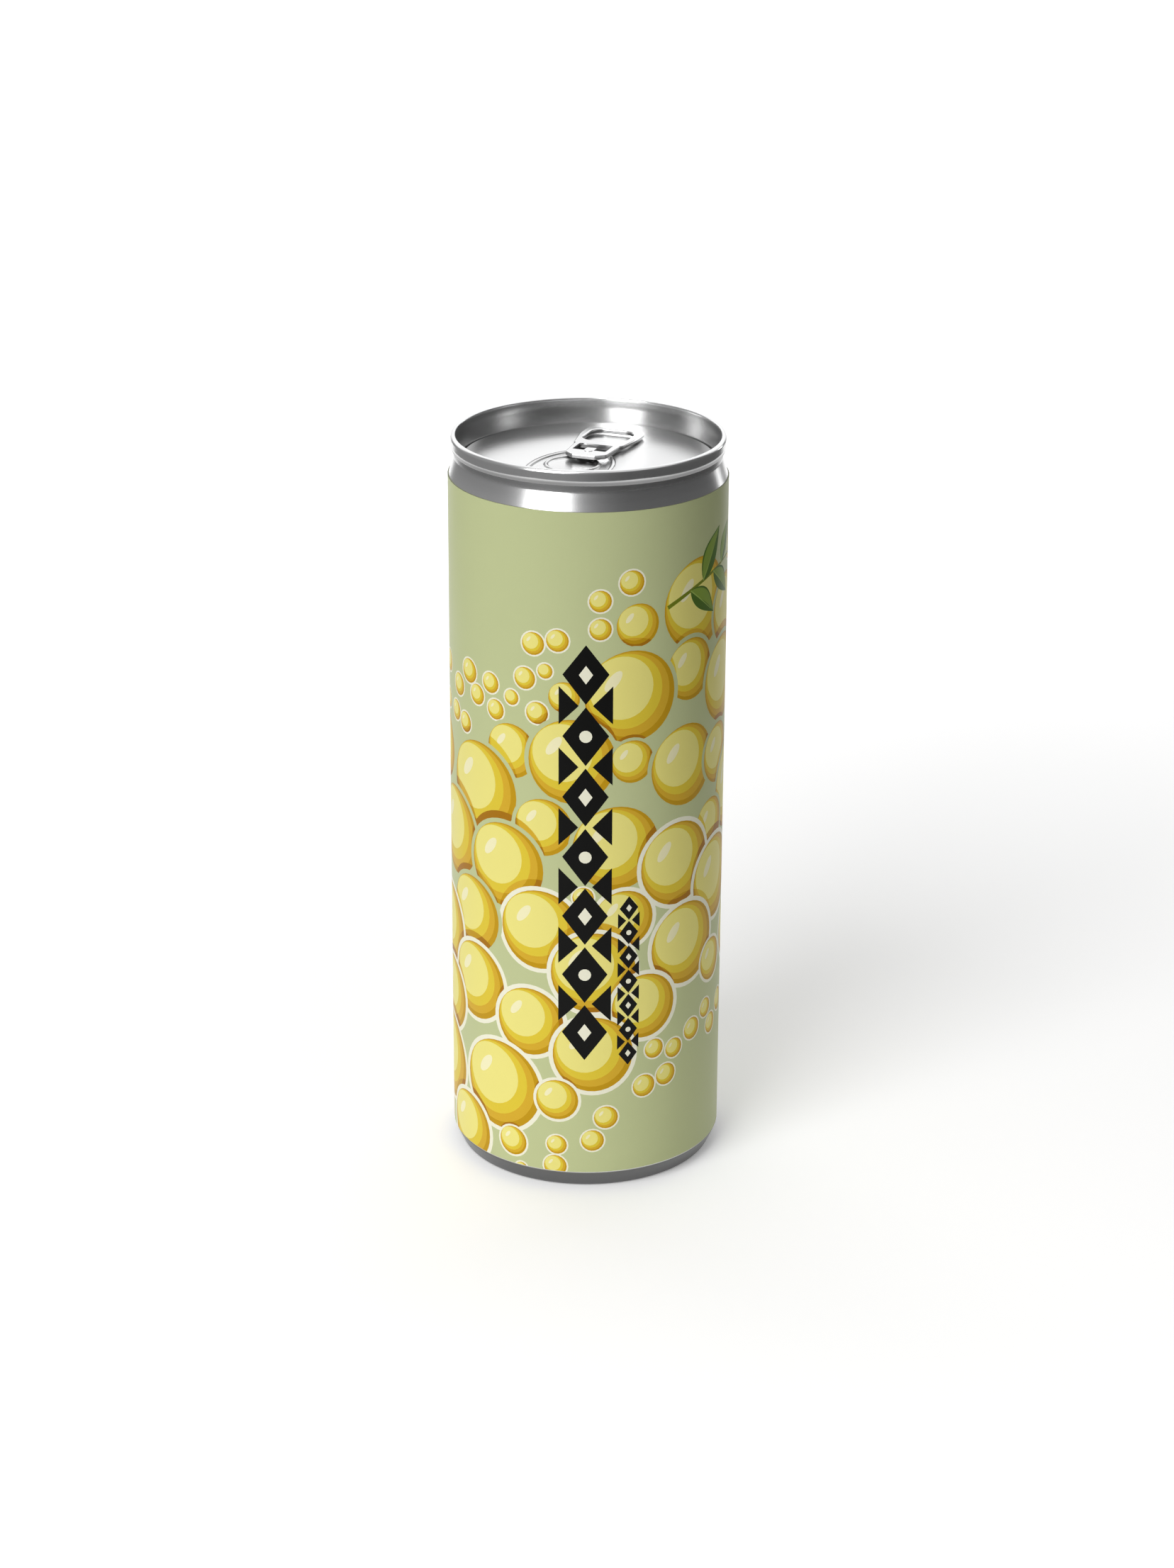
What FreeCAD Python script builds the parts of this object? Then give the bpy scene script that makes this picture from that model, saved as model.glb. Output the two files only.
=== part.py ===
import FreeCAD, Part
import math
import os

import Sketcher

# A slim aluminium drinks can with a stay-on pull tab and a wrap-around label.
# Millimetres, +Z up. The origin is the middle of the stand ring, on the floor.
# Every driving size is a cell of the sheet "Sizes"; sketches and placements are bound to those cells.

SIZES = [
    # overall
    ("can_height", 157.5, "floor to the crest of the seam"),
    ("body_diameter", 57.0, "straight metal wall"),
    # label
    ("label_thickness", 0.2, "printed film round the wall"),
    ("label_bottom", 4.0, "floor to the label's lower edge"),
    ("label_below_crest", 8.3, "label's upper edge to the crest of the seam"),
    ("lap_width_angle", 11, "degrees of wall that the label's glued lap covers, at the back"),
    # foot
    ("foot_inset", 1.6, "wall to the outer corner of the stand ring"),
    ("foot_round", 1.0, "outer corner of the stand ring"),
    ("foot_width", 2.0, "stand ring, outer corner to inner corner"),
    ("ring_wall_lean", 0.7, "how far the ring's inner wall leans in"),
    ("ring_wall_height", 2.6, "floor to the edge of the dome"),
    ("dome_height", 9.5, "floor to the top of the dome"),
    ("chime_round", 2.0, "bend from the wall into the tapered foot"),
    ("chime_gap", 0.5, "label's lower edge down to the bend"),
    # neck and seam
    ("neck_step", 1.15, "wall in to the neck, on the radius"),
    ("neck_height", 3.6, "label's upper edge to the end of the taper"),
    ("neck_round", 1.0, "bends at both ends of the taper"),
    ("sheet", 0.22, "thickness of the metal at the seam and in the end's wall"),
    ("seam_stand_out", 0.8, "seam beyond the neck, on the radius"),
    ("seam_depth", 3.9, "crest to the seam's lower edge"),
    ("seam_flare", 1.4, "height of the flared lower part of the seam"),
    ("flare_round", 1.5, "bend from the flare into the seam's wall"),
    ("crest_taper", 0.35, "seam's wall in to the crest, on the radius"),
    ("crest_taper_height", 1.1, "height of that taper"),
    ("crest_taper_round", 1.6, "bend from the seam's wall into the taper"),
    ("seam_round", 0.48, "crest, outer side"),
    ("crest_round", 0.45, "crest, inner side"),
    ("hook_below_crest", 1.2, "crest to the top of the body's wall inside the seam"),
    # end
    ("panel_depth", 5.1, "crest to the flat panel"),
    ("wall_straight", 2.1, "crest down to the bend in the end's wall"),
    ("wall_bend_round", 2.5, "bend in the end's wall"),
    ("wall_lean", 0.72, "how far the end's wall leans in below its bend"),
    ("groove_width", 0.3, "countersink round the panel"),
    ("groove_depth", 0.8, "panel to the floor of the countersink"),
    ("groove_round", 0.12, "corners of the countersink"),
    ("panel_round", 0.25, "edge of the panel"),
    ("panel_backing", 0.6, "thickness of the end under its panel, which the tear panel is pressed into"),
    ("tear_margin", 4.2, "tear panel's front end to the panel's edge"),
    ("tear_behind", 4.7, "rivet back to the tear panel's other end"),
    ("tear_width", 17.2, "tear panel across"),
    ("tear_side", 1.0, "tear panel's middle beside the tab's line"),
    ("tear_depth", 0.34, "how deep the tear panel is pressed"),
    ("tear_slope", 0.7, "width of the pressed step"),
    ("bead_radius", 5.35, "ring bead on the tear panel, middle of the ridge"),
    ("bead_width", 1.0, "ring bead"),
    ("bead_rise", 0.3, "ring bead"),
    ("bead_centre", 5.4, "rivet to the middle of the ring bead"),
    ("bead_side", 1.5, "ring bead's middle beside the tab's line"),
    # rivet
    ("rivet_radius", 0.7, "shank"),
    ("rivet_head_radius", 0.95, "head"),
    ("rivet_head_height", 0.2, "head above the tab"),
    ("rivet_boss_radius", 1.6, "pressed seat round the rivet"),
    # pull tab
    ("tab_angle", 70, "degrees from +X to the way the tab points"),
    ("tab_seat", 0.3, "panel to the underside of the tab"),
    ("tab_thickness", 1.0, "over the curled edge"),
    ("tab_tail", 17.7, "rivet to the tail's end"),
    ("tab_nose", 3.3, "rivet to the nose's end"),
    ("nose_width", 5.0, "flat front of the nose"),
    ("nose_shoulder", 1.7, "rivet forward to the nose's shoulders"),
    ("shoulder_width", 8.8, "across the shoulders"),
    ("waist_place", 5.4, "rivet to the waist"),
    ("waist_width", 9.8, "across the waist, on the nose's side"),
    ("waist_step", 0.45, "how far the tail's sides stand out at the waist"),
    ("tail_side_back", 5.2, "tail's end back to the bend in its sides"),
    ("tail_side_round", 16, "bend in the tail's sides"),
    ("tail_width", 12.8, "across the tail, at that bend"),
    ("tail_taper", 0.1, "tail's corners in from its widest, each side"),
    ("tail_round", 1.6, "corners of the tail"),
    ("tail_bow", 0.35, "how far the tail's end bows out"),
    ("tail_bow_round", 60, "bend in the tail's end"),
    ("corner_round", 0.7, "corners of the nose and the waist"),
    ("edge_round", 0.3, "curl of the tab's outer edge"),
    ("hole_near", 7.8, "rivet to the near side of the finger hole"),
    ("tail_rim", 1.1, "finger hole to the tail's end"),
    ("tail_side_rim", 1.7, "finger hole to the tail's sides"),
    ("hole_round", 2.6, "corners of the finger hole"),
    ("hole_curl", 0.42, "curl of the finger hole's edge"),
    ("window_near", 0.2, "rivet to the near side of the window"),
    ("bridge", 3.0, "window to the finger hole"),
    ("window_side_rim", 1.3, "window to the waist's sides"),
    ("window_round", 0.35, "corners of the window"),
    ("tongue_length", 1.95, "tongue that the rivet holds, into the window"),
    ("tongue_width", 2.1, "tongue across"),
]


class Size:
    """A size that carries its number and the expression that gives it, so both come from one formula."""

    def __init__(self, number, text):
        self.number = float(number)
        self.text = text

    @staticmethod
    def of(other):
        return other if isinstance(other, Size) else Size(other, repr(other))

    def __add__(self, other):
        other = Size.of(other)
        return Size(self.number + other.number, f"({self.text} + {other.text})")

    def __sub__(self, other):
        other = Size.of(other)
        return Size(self.number - other.number, f"({self.text} - {other.text})")

    def __mul__(self, other):
        other = Size.of(other)
        return Size(self.number * other.number, f"({self.text} * {other.text})")

    def __truediv__(self, other):
        other = Size.of(other)
        return Size(self.number / other.number, f"({self.text} / {other.text})")

    def __neg__(self):
        return Size(-self.number, f"(-{self.text})")

    def cosine(self):
        return Size(math.cos(math.radians(self.number)), f"cos({self.text})")

    def sine(self):
        return Size(math.sin(math.radians(self.number)), f"sin({self.text})")


ZERO = Size(0, "0")
ORIGIN = (-1, 1)
ACROSS_AXIS = -1
UP_AXIS = -2


def make_sheet(doc):
    """Write the driving sizes into a sheet and give them back as Size values by name."""
    sheet = doc.addObject("Spreadsheet::Sheet", "Sizes")
    sizes = {}
    for row, (name, number, meaning) in enumerate(SIZES, start=1):
        sheet.set(f"A{row}", name)
        sheet.set(f"B{row}", str(number))
        sheet.set(f"C{row}", meaning)
        sheet.setAlias(f"B{row}", name)
        sizes[name] = Size(number, f"Sizes.{name}")
    doc.recompute()
    return sizes


def bind(thing, path, size):
    """Set one property or constraint of a document object to a size of the sheet."""
    thing.setExpression(path, size.text)


def add_body(doc, label):
    body = doc.addObject("PartDesign::Body", label)
    body.Label = label
    return body


def origin_plane(body, role):
    return next(item for item in body.Origin.OriginFeatures if item.Role == role)


def add_sketch(body, name, role, height=None, turn=None):
    """A sketch on one of the body's own planes, raised by a height and turned by an angle if given."""
    sketch = body.newObject("Sketcher::SketchObject", name)
    sketch.AttachmentSupport = (origin_plane(body, role), [""])
    sketch.MapMode = "FlatFace"
    if height is not None:
        bind(sketch, "AttachmentOffset.Base.z", height)
    if turn is not None:
        sketch.AttachmentOffset = FreeCAD.Placement(
            FreeCAD.Vector(0, 0, 0), FreeCAD.Rotation(FreeCAD.Vector(0, 0, 1), turn.number)
        )
        bind(sketch, "AttachmentOffset.Rotation.Angle", turn)
    return sketch


def pin_one_way(sketch, kind, axis, geometry, end, size):
    """Fix one coordinate of a point to a size. A coordinate of zero lies on the sketch's axis."""
    if size is ZERO:
        sketch.addConstraint(Sketcher.Constraint("PointOnObject", geometry, end, axis))
        return
    if size.number < 0:
        index = sketch.addConstraint(Sketcher.Constraint(kind, geometry, end, *ORIGIN, -size.number))
        bind(sketch, f"Constraints[{index}]", -size)
        return
    index = sketch.addConstraint(Sketcher.Constraint(kind, *ORIGIN, geometry, end, size.number))
    bind(sketch, f"Constraints[{index}]", size)


def pin(sketch, geometry, end, across, up):
    pin_one_way(sketch, "DistanceX", UP_AXIS, geometry, end, across)
    pin_one_way(sketch, "DistanceY", ACROSS_AXIS, geometry, end, up)


def fix_radius(sketch, geometry, radius):
    index = sketch.addConstraint(Sketcher.Constraint("Radius", geometry, radius.number))
    bind(sketch, f"Constraints[{index}]", radius)


class Corner:
    """Where a loop's corner starts, ends and has its centre; sharp if it has no radius."""

    def __init__(self, here, before, after, radius):
        self.enter = self.leave = here
        self.here = here
        self.radius = radius
        if radius is None:
            return
        back = (before - here).normalize()
        ahead = (after - here).normalize()
        half = back.getAngle(ahead) / 2
        setback = radius.number / math.tan(half)
        self.enter = here + back * setback
        self.leave = here + ahead * setback
        self.centre = here + (back + ahead).normalize() * (radius.number / math.sin(half))

    def arc(self):
        """The arc, and which of its ends (1 or 2) the loop enters and leaves by."""
        start = self.enter - self.centre
        stop = self.leave - self.centre
        ends = (1, 2)
        if start.cross(stop).z < 0:
            start, stop = stop, start
            ends = (2, 1)
        first = math.atan2(start.y, start.x)
        last = math.atan2(stop.y, stop.x)
        circle = Part.Circle(self.centre, FreeCAD.Vector(0, 0, 1), self.radius.number)
        return Part.ArcOfCircle(circle, first, last), ends


def rounded_loop(sketch, corners):
    """Draw a closed loop of straight lines through the corners (across, up, radius or None).

    A rounded corner keeps a construction point where its two lines would meet, and the sizes place
    that point, so a change of radius never moves the lines.
    """
    count = len(corners)
    places = [FreeCAD.Vector(across.number, up.number, 0) for across, up, _ in corners]
    turns = [
        Corner(places[i], places[i - 1], places[(i + 1) % count], corners[i][2]) for i in range(count)
    ]
    lines = []
    for i in range(count):
        line = Part.LineSegment(turns[i].leave, turns[(i + 1) % count].enter)
        lines.append(sketch.addGeometry(line, False))
    for i, (across, up, radius) in enumerate(corners):
        before = lines[i - 1]
        after = lines[i]
        if radius is None:
            sketch.addConstraint(Sketcher.Constraint("Coincident", before, 2, after, 1))
            pin(sketch, after, 1, across, up)
            continue
        shape, (enter, leave) = turns[i].arc()
        arc = sketch.addGeometry(shape, False)
        point = sketch.addGeometry(Part.Point(places[i]), True)
        sketch.addConstraint(Sketcher.Constraint("PointOnObject", point, 1, before))
        sketch.addConstraint(Sketcher.Constraint("PointOnObject", point, 1, after))
        sketch.addConstraint(Sketcher.Constraint("Tangent", before, 2, arc, enter))
        sketch.addConstraint(Sketcher.Constraint("Tangent", arc, leave, after, 1))
        pin(sketch, point, 1, across, up)
        fix_radius(sketch, arc, radius)


def revolve(body, sketch, kind="PartDesign::Revolution", angle=None):
    """Turn a sketch about its upright axis, all the way round or evenly to both sides by an angle."""
    feature = body.newObject(kind, sketch.Name + "_turned")
    feature.Profile = sketch
    feature.ReferenceAxis = (sketch, ["V_Axis"])
    feature.Angle = 360
    if angle is not None:
        feature.Midplane = True
        bind(feature, "Angle", angle)
    return feature


class Plan:
    """The heights and radii that several pieces share, worked out once from the driving sizes."""

    def __init__(self, s):
        self.wall = s["body_diameter"] / 2
        self.crest = s["can_height"]
        self.label_top = s["can_height"] - s["label_below_crest"]
        self.neck = self.wall - s["neck_step"]
        self.neck_inside = self.neck - s["sheet"]
        self.seam = self.neck + s["seam_stand_out"]
        self.seam_bottom = s["can_height"] - s["seam_depth"]
        self.hook_top = s["can_height"] - s["hook_below_crest"]
        self.panel = s["can_height"] - s["panel_depth"]
        self.rim_inside = self.neck_inside - s["sheet"]
        self.wall_bend = s["can_height"] - s["wall_straight"]
        self.groove_outside = self.rim_inside - s["wall_lean"]
        self.panel_edge = self.groove_outside - s["groove_width"]
        self.groove_floor = self.panel - s["groove_depth"]
        self.underside = self.panel - s["panel_backing"]
        self.tear_floor = self.panel - s["tear_depth"]
        self.tear_root = self.tear_floor - (s["panel_backing"] - s["tear_depth"]) / 2
        self.tear_front = self.panel_edge - s["tear_margin"]
        self.tab_under = self.panel + s["tab_seat"]
        self.tab_top = self.tab_under + s["tab_thickness"]


def under_the_end(s, plan):
    """Corners of the end's underside, from the hook inward: the end and the body's wall share them."""
    sheet = s["sheet"]
    outer_round = s["groove_round"] + sheet
    return [
        (plan.neck_inside, plan.hook_top, None),
        (plan.neck_inside, plan.wall_bend, s["wall_bend_round"]),
        (plan.groove_outside + sheet, plan.groove_floor - sheet, outer_round),
        (plan.panel_edge - sheet, plan.groove_floor - sheet, None),
        (plan.panel_edge - sheet, plan.underside, None),
        (ZERO, plan.underside, None),
    ]


def make_can_body(doc, s, plan):
    """The closed can below its end: tapered foot, straight wall, neck and the wall inside the seam."""
    body = add_body(doc, "can_body")
    section = add_sketch(body, "can_section", "XZ_Plane")
    corners = [
        (ZERO, ZERO, None),
        (plan.wall - s["foot_inset"], ZERO, s["foot_round"]),
        (plan.wall, s["label_bottom"] - s["chime_gap"], s["chime_round"]),
        (plan.wall, plan.label_top, s["neck_round"]),
        (plan.neck, plan.label_top + s["neck_height"], s["neck_round"]),
        (plan.neck, plan.hook_top, None),
    ]
    rounded_loop(section, corners + under_the_end(s, plan))
    revolve(body, section)

    dome = add_sketch(body, "dome_section", "XZ_Plane")
    mouth = plan.wall - s["foot_inset"] - s["foot_width"]
    edge = mouth - s["ring_wall_lean"]
    rise = s["dome_height"].number - s["ring_wall_height"].number
    reach = edge.number
    dome_radius = (reach * reach + rise * rise) / (2 * rise)
    centre = FreeCAD.Vector(0, s["dome_height"].number - dome_radius, 0)
    lip = FreeCAD.Vector(reach, s["ring_wall_height"].number, 0)
    top = FreeCAD.Vector(0, s["dome_height"].number, 0)
    foot = FreeCAD.Vector(mouth.number, 0, 0)
    axis = dome.addGeometry(Part.LineSegment(top, FreeCAD.Vector(0, 0, 0)), False)
    floor = dome.addGeometry(Part.LineSegment(FreeCAD.Vector(0, 0, 0), foot), False)
    wall = dome.addGeometry(Part.LineSegment(foot, lip), False)
    start = math.atan2(lip.y - centre.y, lip.x)
    circle = Part.Circle(centre, FreeCAD.Vector(0, 0, 1), dome_radius)
    cap = dome.addGeometry(Part.ArcOfCircle(circle, start, math.pi / 2), False)
    for first, second in (((axis, 2), (floor, 1)), ((floor, 2), (wall, 1)), ((wall, 2), (cap, 1)),
                          ((cap, 2), (axis, 1))):
        dome.addConstraint(Sketcher.Constraint("Coincident", *first, *second))
    dome.addConstraint(Sketcher.Constraint("PointOnObject", cap, 3, UP_AXIS))
    pin(dome, floor, 1, ZERO, ZERO)
    pin(dome, floor, 2, mouth, ZERO)
    pin(dome, cap, 1, edge, s["ring_wall_height"])
    pin(dome, cap, 2, ZERO, s["dome_height"])
    revolve(body, dome, "PartDesign::Groove")
    return body


def make_can_end(doc, s, plan):
    """The stamped end: seam, leaning wall, countersink, flat panel and the pressed tear panel."""
    body = add_body(doc, "can_end")
    section = add_sketch(body, "end_section", "XZ_Plane")
    corners = [
        (plan.neck, plan.seam_bottom, None),
        (plan.seam, plan.seam_bottom + s["seam_flare"], s["flare_round"]),
        (plan.seam, plan.crest - s["crest_taper_height"], s["crest_taper_round"]),
        (plan.seam - s["crest_taper"], plan.crest, s["seam_round"]),
        (plan.rim_inside, plan.crest, s["crest_round"]),
        (plan.rim_inside, plan.wall_bend, s["wall_bend_round"]),
        (plan.groove_outside, plan.groove_floor, s["groove_round"]),
        (plan.panel_edge, plan.groove_floor, s["groove_round"]),
        (plan.panel_edge, plan.panel, s["panel_round"]),
        (ZERO, plan.panel, None),
    ]
    underside = list(reversed(under_the_end(s, plan)))
    rounded_loop(section, corners + underside + [(plan.neck, plan.hook_top, None)])
    revolve(body, section)
    press_tear_panel(body, s, plan)
    raise_ring_bead(body, s, plan)
    raise_rivet(body, s, plan)
    return body


def ellipse(sketch, centre, half_length, half_width):
    """An ellipse with its long axis across the sketch."""
    across, up = centre
    middle = FreeCAD.Vector(across.number, up.number, 0)
    end = middle + FreeCAD.Vector(half_length.number, 0, 0)
    side = middle + FreeCAD.Vector(0, half_width.number, 0)
    curve = sketch.addGeometry(Part.Ellipse(end, side, middle), False)
    tip = sketch.addGeometry(Part.Point(end), True)
    flank = sketch.addGeometry(Part.Point(side), True)
    sketch.exposeInternalGeometry(curve)
    long_axis = flank + 1
    pin(sketch, tip, 1, across + half_length, up)
    pin(sketch, flank, 1, across, up + half_width)
    pin(sketch, curve, 3, across, up)
    near = 1 if sketch.getPoint(long_axis, 1).distanceToPoint(end) < half_width.number else 2
    sketch.addConstraint(Sketcher.Constraint("Coincident", tip, 1, long_axis, near))
    sketch.addConstraint(Sketcher.Constraint("PointOnObject", flank, 1, curve))


def press_tear_panel(body, s, plan):
    """Press the oval tear panel into the flat one, with a sloping step."""
    middle = ((s["tear_behind"] - plan.tear_front) / 2, s["tear_side"])
    half_length = (plan.tear_front + s["tear_behind"]) / 2
    half_width = s["tear_width"] / 2
    upper = add_sketch(body, "tear_top", "XY_Plane", plan.panel, s["tab_angle"])
    ellipse(upper, middle, half_length, half_width)
    lower = add_sketch(body, "tear_floor", "XY_Plane", plan.tear_floor, s["tab_angle"])
    ellipse(lower, middle, half_length - s["tear_slope"], half_width - s["tear_slope"])
    step = body.newObject("PartDesign::SubtractiveLoft", "tear_step")
    step.Profile = upper
    step.Sections = [lower]


def raise_ring_bead(body, s, plan):
    """Raise the round ridge that stiffens the tear panel."""
    ridge = add_sketch(body, "bead_section", "XZ_Plane")
    turn = s["tab_angle"]
    bind(ridge, "AttachmentOffset.Base.x", -(s["bead_centre"] * turn.cosine()) - s["bead_side"] * turn.sine())
    bind(ridge, "AttachmentOffset.Base.z", s["bead_centre"] * turn.sine() - s["bead_side"] * turn.cosine())
    inner = s["bead_radius"] - s["bead_width"] / 2
    outer = s["bead_radius"] + s["bead_width"] / 2
    root = plan.tear_root
    low = [FreeCAD.Vector(r.number, root.number, 0) for r in (inner, outer)]
    high = [FreeCAD.Vector(r.number, plan.tear_floor.number, 0) for r in (inner, outer)]
    crown = FreeCAD.Vector(s["bead_radius"].number, (plan.tear_floor + s["bead_rise"]).number, 0)
    base = ridge.addGeometry(Part.LineSegment(low[0], low[1]), False)
    outside = ridge.addGeometry(Part.LineSegment(low[1], high[1]), False)
    top = ridge.addGeometry(Part.Arc(high[1], crown, high[0]), False)
    inside = ridge.addGeometry(Part.LineSegment(high[0], low[0]), False)
    peak = ridge.addGeometry(Part.Point(crown), True)
    for first, second in (((base, 2), (outside, 1)), ((outside, 2), (top, 1)), ((top, 2), (inside, 1)),
                          ((inside, 2), (base, 1))):
        ridge.addConstraint(Sketcher.Constraint("Coincident", *first, *second))
    pin(ridge, base, 1, inner, root)
    pin(ridge, base, 2, outer, root)
    pin(ridge, top, 1, outer, plan.tear_floor)
    pin(ridge, top, 2, inner, plan.tear_floor)
    pin(ridge, peak, 1, s["bead_radius"], plan.tear_floor + s["bead_rise"])
    ridge.addConstraint(Sketcher.Constraint("PointOnObject", peak, 1, top))
    revolve(body, ridge)


def raise_rivet(body, s, plan):
    """The rivet drawn up from the panel: a seat under the tab, a shank through it and a head over it."""
    button = add_sketch(body, "rivet_section", "XZ_Plane")
    root = plan.tear_root
    rounded_loop(button, [
        (ZERO, root, None),
        (s["rivet_boss_radius"], root, None),
        (s["rivet_boss_radius"], plan.tab_under, None),
        (s["rivet_radius"], plan.tab_under, None),
        (s["rivet_radius"], plan.tab_top, None),
        (s["rivet_head_radius"], plan.tab_top, None),
        (s["rivet_head_radius"], plan.tab_top + s["rivet_head_height"], s["rivet_head_height"] / 2),
        (ZERO, plan.tab_top + s["rivet_head_height"], None),
    ])
    revolve(body, button)


def make_pull_tab(doc, s, plan):
    """The stay-on tab, drawn along +X from the rivet and then turned: nose, waist, tail and its holes."""
    body = add_body(doc, "pull_tab")
    bind(body, "Placement.Base.z", plan.tab_under)
    body.Placement = FreeCAD.Placement(
        FreeCAD.Vector(0, 0, plan.tab_under.number),
        FreeCAD.Rotation(FreeCAD.Vector(0, 0, 1), s["tab_angle"].number),
    )
    bind(body, "Placement.Rotation.Angle", s["tab_angle"])

    waist = s["waist_width"] / 2
    tail = s["tail_width"] / 2
    side = [
        (-s["tab_nose"], s["nose_width"] / 2, s["corner_round"]),
        (-s["nose_shoulder"], s["shoulder_width"] / 2, s["corner_round"]),
        (s["waist_place"], waist, s["corner_round"]),
        (s["waist_place"] + s["waist_step"], waist + s["waist_step"], s["corner_round"]),
        (s["tab_tail"] - s["tail_side_back"], tail, s["tail_side_round"]),
        (s["tab_tail"] - s["tail_bow"], tail - s["tail_taper"], s["tail_round"]),
    ]
    outline = add_sketch(body, "tab_outline", "XY_Plane")
    far_side = [(along, -across, radius) for along, across, radius in side]
    tip = [(s["tab_tail"], ZERO, s["tail_bow_round"])]
    rounded_loop(outline, far_side + tip + list(reversed(side)))
    plate = body.newObject("PartDesign::Pad", "tab_plate")
    plate.Profile = outline
    bind(plate, "Length", s["tab_thickness"])

    hole_side = tail - s["tail_side_rim"]
    hole_far = s["tab_tail"] - s["tail_rim"]
    cut_through(body, s, "finger_hole", [
        (s["hole_near"], -hole_side, s["hole_round"]),
        (hole_far, -hole_side, s["hole_round"]),
        (hole_far, hole_side, s["hole_round"]),
        (s["hole_near"], hole_side, s["hole_round"]),
    ])
    window_side = waist - s["window_side_rim"]
    window_far = s["hole_near"] - s["bridge"]
    tongue_side = s["tongue_width"] / 2
    tongue_far = s["window_near"] + s["tongue_length"]
    cut_through(body, s, "window", [
        (s["window_near"], -window_side, s["window_round"]),
        (window_far, -window_side, s["window_round"]),
        (window_far, window_side, s["window_round"]),
        (s["window_near"], window_side, s["window_round"]),
        (s["window_near"], tongue_side, None),
        (tongue_far, tongue_side, s["window_round"]),
        (tongue_far, -tongue_side, s["window_round"]),
        (s["window_near"], -tongue_side, None),
    ])
    bore = add_sketch(body, "rivet_bore", "XY_Plane")
    ring = bore.addGeometry(Part.Circle(FreeCAD.Vector(0, 0, 0), FreeCAD.Vector(0, 0, 1), 1), False)
    bore.addConstraint(Sketcher.Constraint("Coincident", ring, 3, *ORIGIN))
    fix_radius(bore, ring, s["rivet_radius"])
    cut_sketch(body, s, bore)

    curl_edges(doc, body, "outline_curl", s["edge_round"], s["tab_thickness"], widest)
    curl_edges(doc, body, "hole_curl_round", s["hole_curl"], s["tab_thickness"], opening)
    return body


def curl_edges(doc, body, name, radius, thickness, pick):
    """Round the upper and lower edges of one of the tab's loops; pick tells that loop from the others."""
    doc.recompute()
    plate = body.Tip
    faces = [face for face in plate.Shape.Faces if abs(face.normalAt(0, 0).z) > 0.99]
    chosen = []
    for face in faces:
        loop = pick(face)
        chosen += [edge.hashCode() for edge in loop.Edges]
    names = [f"Edge{i}" for i, edge in enumerate(plate.Shape.Edges, start=1) if edge.hashCode() in chosen]
    curl = body.newObject("PartDesign::Fillet", name)
    curl.Base = (plate, names)
    bind(curl, "Radius", radius)


def widest(face):
    """The face's outer loop."""
    return face.OuterWire


def opening(face):
    """The finger hole's loop, the longest of those inside the outer one."""
    inner = [wire for wire in face.Wires if not wire.isSame(face.OuterWire)]
    return max(inner, key=lambda wire: wire.BoundBox.XMax)


def cut_sketch(body, s, sketch):
    """Cut a sketch that lies on the tab's underside up through the plate."""
    cut = body.newObject("PartDesign::Pocket", sketch.Name + "_cut")
    cut.Profile = sketch
    cut.Reversed = True
    bind(cut, "Length", s["tab_thickness"])


def cut_through(body, s, name, corners):
    sketch = add_sketch(body, name, "XY_Plane")
    rounded_loop(sketch, corners)
    cut_sketch(body, s, sketch)


def make_label(doc, s, plan):
    """A film round the straight wall, with the glued lap at the back."""
    body = add_body(doc, "label")
    outside = plan.wall + s["label_thickness"]
    film = add_sketch(body, "film_section", "XZ_Plane")
    rounded_loop(film, [
        (plan.wall, s["label_bottom"], None),
        (outside, s["label_bottom"], None),
        (outside, plan.label_top, None),
        (plan.wall, plan.label_top, None),
    ])
    revolve(body, film)
    lap = add_sketch(body, "lap_section", "YZ_Plane")
    rounded_loop(lap, [
        (plan.wall, s["label_bottom"], None),
        (outside + s["label_thickness"], s["label_bottom"], None),
        (outside + s["label_thickness"], plan.label_top, None),
        (plan.wall, plan.label_top, None),
    ])
    revolve(body, lap, angle=s["lap_width_angle"])
    return body


def check(doc, pieces):
    """Stop if anything in the document failed, or if a piece isn't one valid solid."""
    for thing in doc.Objects:
        if "Invalid" in thing.State or "Error" in thing.State:
            raise RuntimeError(f"{thing.Name} failed: {thing.State}")
    for piece in pieces:
        shape = piece.Shape
        if shape.isNull() or not shape.isValid() or len(shape.Solids) != 1:
            raise RuntimeError(f"{piece.Label} isn't one valid solid")


def main():
    doc = FreeCAD.newDocument("drinks_can")
    sizes = make_sheet(doc)
    plan = Plan(sizes)
    pieces = [
        make_can_body(doc, sizes, plan),
        make_can_end(doc, sizes, plan),
        make_pull_tab(doc, sizes, plan),
        make_label(doc, sizes, plan),
    ]
    doc.recompute()
    check(doc, pieces)
    os.makedirs("parts", exist_ok=True)
    for piece in pieces:
        piece.Shape.exportStep(f"parts/{piece.Label}.step")
        box = piece.Shape.BoundBox
        print(piece.Label, "volume", round(piece.Shape.Volume, 2), "height", round(box.ZMin, 3), round(box.ZMax, 3))


main()
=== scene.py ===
"""A slim drinks can with a printed wrap-around label, a stamped end and a stay-on pull tab."""

import math
import random

import bpy
import numpy as np
from mathutils import Matrix, Vector
from mathutils.geometry import delaunay_2d_cdt


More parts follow.
